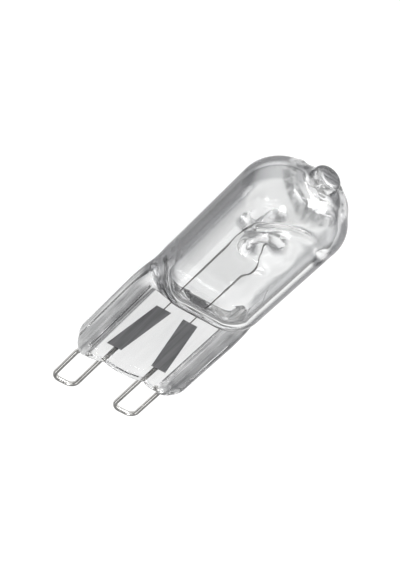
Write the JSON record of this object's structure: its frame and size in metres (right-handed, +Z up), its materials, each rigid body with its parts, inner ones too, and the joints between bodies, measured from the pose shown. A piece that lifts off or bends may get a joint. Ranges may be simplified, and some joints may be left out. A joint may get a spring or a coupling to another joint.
{
  "type": "halogen capsule bulb",
  "caption": "Clear flattened quartz capsule bulb with dimpled faces, pinch seal with foils, coiled filament, exhaust tip and wire loop contacts for a plug-in lamp holder.",
  "frame": {"origin": "middle of the bottom of the bulb's box, on the surface that it lies on", "axes": "+X from the contact loops to the exhaust tip, +Y to the bulb's left side, +Z up out of the upper broad face"},
  "size_m": [0.0496, 0.0154, 0.009],
  "materials": {
    "quartz": "clear fire-polished quartz",
    "contact_wire": "bright drawn nickel wire",
    "foil": "dull rolled molybdenum foil",
    "tungsten": "dark drawn tungsten wire"
  },
  "bodies": {
    "root": {"quartz_envelope": "quartz", "contact_loop_left": "contact_wire", "contact_loop_right": "contact_wire", "seal_foil_left": "foil", "seal_foil_right": "foil", "inner_lead_left": "tungsten", "inner_lead_right": "tungsten", "filament": "tungsten"}
  },
  "joints": []
}
